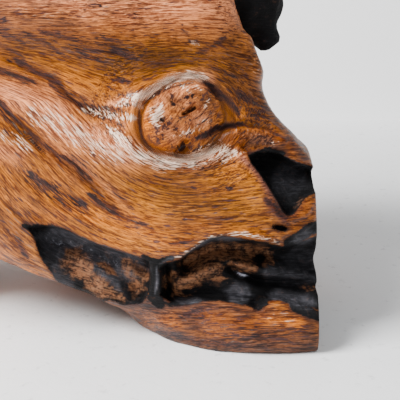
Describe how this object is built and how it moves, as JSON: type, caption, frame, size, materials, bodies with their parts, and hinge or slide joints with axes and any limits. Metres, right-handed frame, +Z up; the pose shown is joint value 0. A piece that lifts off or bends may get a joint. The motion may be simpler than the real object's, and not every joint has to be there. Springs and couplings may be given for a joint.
{
  "type": "tree burl",
  "caption": "Polished root burl with a knot, charred hollows and a flat sawn end, free-standing on its own foot, heel and back.",
  "frame": {"origin": "middle of the bounding box's bottom face, on the surface that the burl stands on", "axes": "+Z up, +X towards the sawn end, -Y towards the side with the knot and the two large hollows"},
  "size_m": [0.4068, 0.2514, 0.3523],
  "materials": {
    "burl_wood": "polished and waxed root wood, orange brown with purple brown streaks, charred black and left rough in the hollows and on the spur"
  },
  "bodies": {
    "root": {"burl": "burl_wood"}
  },
  "joints": []
}
